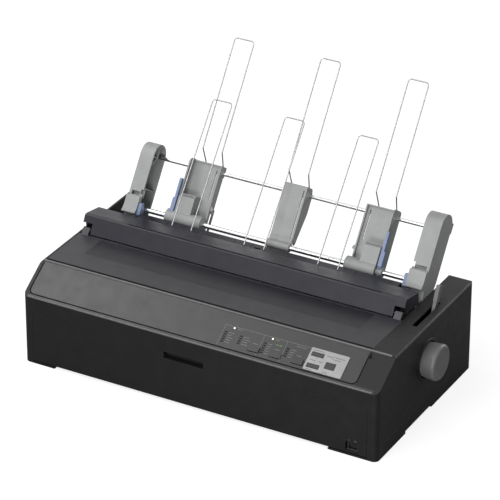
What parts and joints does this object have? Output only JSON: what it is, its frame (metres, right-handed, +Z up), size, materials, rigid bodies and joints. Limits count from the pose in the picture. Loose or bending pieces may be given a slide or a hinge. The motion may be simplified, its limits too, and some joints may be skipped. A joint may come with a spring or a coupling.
{
  "type": "dot matrix printer",
  "caption": "Wide-carriage dot matrix printer in black plastic, with an upright grey paper guide, wire sheet supports, a platen knob and a small control panel",
  "frame": {"origin": "Middle of the whole printer's footprint, knob and sheet wires included, on the floor that the rubber feet stand on", "axes": "X runs across the paper, to the right seen from the front. Y runs from the front to the back. Z is up"},
  "size_m": [0.639, 0.4154, 0.419],
  "materials": {
    "case": "fine grained black",
    "panel": "fine grained dark grey",
    "cover": "satin dark blue-grey",
    "smoked": "smoked clear",
    "plate": "light grey",
    "button": "black",
    "lens": "clear white",
    "guide_grey": "satin mid grey",
    "lever_blue": "satin slate blue",
    "wire": "bright drawn wire",
    "shaft": "ground bright",
    "sheet_steel": "zinc plated",
    "platen_rubber": "matte black",
    "knob": "satin dark grey",
    "gear_plastic": "natural",
    "brass": "turned",
    "motor": "dark, satin",
    "black_plastic": "matte black",
    "board": "green board"
  },
  "bodies": {
    "case": {"lower_case": "case", "upper_case": "case", "control_panel": "panel", "button_plate": "plate", "panel_board": "board", "led_lenses": "lens", "hood": "cover", "exit_panel": "cover", "front_wires": "wire", "hinge_pins": "shaft", "switch_body": "button", "chassis_base": "sheet_steel", "left_frame": "sheet_steel", "right_frame": "sheet_steel", "guide_rod": "shaft", "carriage_rail": "sheet_steel", "drive_belt": "platen_rubber", "carriage_motor": "motor", "platen_bearings": "gear_plastic", "feed_motor": "motor", "paper_pan": "sheet_steel", "rear_cover": "case", "ribbon_cartridge": "black_plastic", "circuit_boards": "board", "rubber_feet": "platen_rubber"},
    "printer_cover_body": {"printer_cover": "cover", "cover_window": "smoked"},
    "front_cover_body": {"front_cover": "case", "front_cover_end": "case"},
    "rocker": {"power_rocker": "button"},
    "key_a": {"button_a": "button"},
    "key_b": {"button_b": "button"},
    "key_c": {"button_c": "button"},
    "key_d": {"button_d": "button"},
    "key_e": {"button_e": "button"},
    "key_f": {"button_f": "button"},
    "platen": {"platen_roller": "platen_rubber", "platen_shaft": "shaft", "platen_knob": "knob", "platen_gear": "gear_plastic"},
    "feed_pinion": {"motor_pinion": "brass"},
    "carriage_body": {"carriage": "black_plastic", "print_head": "motor"},
    "drive_wheel": {"drive_pulley": "brass"},
    "idler_wheel": {"idler_pulley": "brass"},
    "release": {"release_lever": "knob"},
    "thickness": {"thickness_lever": "lever_blue"},
    "paper_guide": {"left_arm": "guide_grey", "right_arm": "guide_grey", "guide_shafts": "shaft"},
    "left_edge": {"left_guide": "guide_grey", "left_guide_wire": "wire"},
    "left_edge_lock": {"left_guide_lever": "lever_blue"},
    "right_edge": {"right_guide": "guide_grey", "right_guide_wire": "wire"},
    "right_edge_lock": {"right_guide_lever": "lever_blue"},
    "centre": {"centre_support": "guide_grey", "centre_wire": "wire"},
    "left_foot_latch": {"left_latch": "lever_blue"},
    "right_foot_latch": {"right_latch": "lever_blue"}
  },
  "joints": [
    {"name": "cover_lift", "type": "hinge", "parent": "case", "child": "printer_cover_body", "pos_m": [-0.03, -0.04166, 0.158], "axis": [-1, 0, 0], "range_deg": [0, 72]},
    {"name": "front_cover_drop", "type": "hinge", "parent": "case", "child": "front_cover_body", "pos_m": [-0.0125, -0.20386, 0.009], "axis": [1, 0, 0], "range_deg": [0, 85]},
    {"name": "rocker_tip", "type": "hinge", "parent": "case", "child": "rocker", "pos_m": [0.253, -0.20046, 0.0158], "axis": [-1, 0, 0], "range_deg": [0, 24]},
    {"name": "press_a", "type": "slide", "parent": "case", "child": "key_a", "axis": [0, 0.5326, -0.8464], "range_m": [0, 0.001], "stiffness_N_per_m": 600, "springref_m": -0.0003},
    {"name": "press_b", "type": "slide", "parent": "case", "child": "key_b", "axis": [0, 0.5326, -0.8464], "range_m": [0, 0.001], "stiffness_N_per_m": 600, "springref_m": -0.0003},
    {"name": "press_c", "type": "slide", "parent": "case", "child": "key_c", "axis": [0, 0.5326, -0.8464], "range_m": [0, 0.001], "stiffness_N_per_m": 600, "springref_m": -0.0003},
    {"name": "press_d", "type": "slide", "parent": "case", "child": "key_d", "axis": [0, 0.5326, -0.8464], "range_m": [0, 0.001], "stiffness_N_per_m": 600, "springref_m": -0.0003},
    {"name": "press_e", "type": "slide", "parent": "case", "child": "key_e", "axis": [0, 0.5326, -0.8464], "range_m": [0, 0.001], "stiffness_N_per_m": 600, "springref_m": -0.0003},
    {"name": "press_f", "type": "slide", "parent": "case", "child": "key_f", "axis": [0, 0.5326, -0.8464], "range_m": [0, 0.001], "stiffness_N_per_m": 600, "springref_m": -0.0003},
    {"name": "platen_turn", "type": "hinge", "parent": "case", "child": "platen", "pos_m": [-0.0125, -0.04466, 0.095], "axis": [1, 0, 0], "continuous": true},
    {"name": "pinion_turn", "type": "hinge", "parent": "case", "child": "feed_pinion", "pos_m": [0.2295, -0.00452, 0.06689], "axis": [1, 0, 0], "continuous": true},
    {"name": "carriage_travel", "type": "slide", "parent": "case", "child": "carriage_body", "axis": [1, 0, 0], "range_m": [-0.185, 0.185]},
    {"name": "drive_pulley_turn", "type": "hinge", "parent": "case", "child": "drive_wheel", "pos_m": [-0.2225, -0.11166, 0.04], "axis": [0, 1, 0], "range_deg": [-1355.3, 1355.3]},
    {"name": "idler_pulley_turn", "type": "hinge", "parent": "case", "child": "idler_wheel", "pos_m": [0.1975, -0.11166, 0.04], "axis": [0, 1, 0], "range_deg": [-1355.3, 1355.3]},
    {"name": "paper_release", "type": "hinge", "parent": "case", "child": "release", "pos_m": [0.2765, -0.01766, 0.085], "axis": [1, 0, 0], "range_deg": [0, 45]},
    {"name": "paper_thickness", "type": "hinge", "parent": "case", "child": "thickness", "pos_m": [-0.2479, -0.08966, 0.052], "axis": [1, 0, 0], "range_deg": [-8, 12]},
    {"name": "guide_tilt", "type": "hinge", "parent": "case", "child": "paper_guide", "pos_m": [-0.0125, 0.03392, 0.14953], "axis": [-1, 0, 0], "range_deg": [0, 40]},
    {"name": "left_guide_slide", "type": "slide", "parent": "paper_guide", "child": "left_edge", "axis": [1, 0, 0], "range_m": [-0.028, 0.04]},
    {"name": "left_guide_lock", "type": "hinge", "parent": "left_edge", "child": "left_edge_lock", "pos_m": [-0.1966, 0.03884, 0.1705], "axis": [-1, 0, 0], "range_deg": [0, 28]},
    {"name": "right_guide_slide", "type": "slide", "parent": "paper_guide", "child": "right_edge", "axis": [1, 0, 0], "range_m": [-0.04, 0.03]},
    {"name": "right_guide_lock", "type": "hinge", "parent": "right_edge", "child": "right_edge_lock", "pos_m": [0.1706, 0.03884, 0.1705], "axis": [-1, 0, 0], "range_deg": [0, 25]},
    {"name": "centre_slide", "type": "slide", "parent": "paper_guide", "child": "centre", "axis": [1, 0, 0], "range_m": [-0.045, 0.045]},
    {"name": "left_latch_turn", "type": "hinge", "parent": "paper_guide", "child": "left_foot_latch", "pos_m": [-0.2471, 0.02762, 0.17103], "axis": [1, 0, 0], "range_deg": [0, 25]},
    {"name": "right_latch_turn", "type": "hinge", "parent": "paper_guide", "child": "right_foot_latch", "pos_m": [0.2211, 0.02762, 0.17103], "axis": [1, 0, 0], "range_deg": [0, 25]}
  ],
  "couplings": [
    {"joint": "pinion_turn", "follows": "platen_turn", "ratio": -6},
    {"joint": "drive_pulley_turn", "follows": "carriage_travel", "rad_per_m": 127.39},
    {"joint": "idler_pulley_turn", "follows": "carriage_travel", "rad_per_m": 127.39}
  ]
}
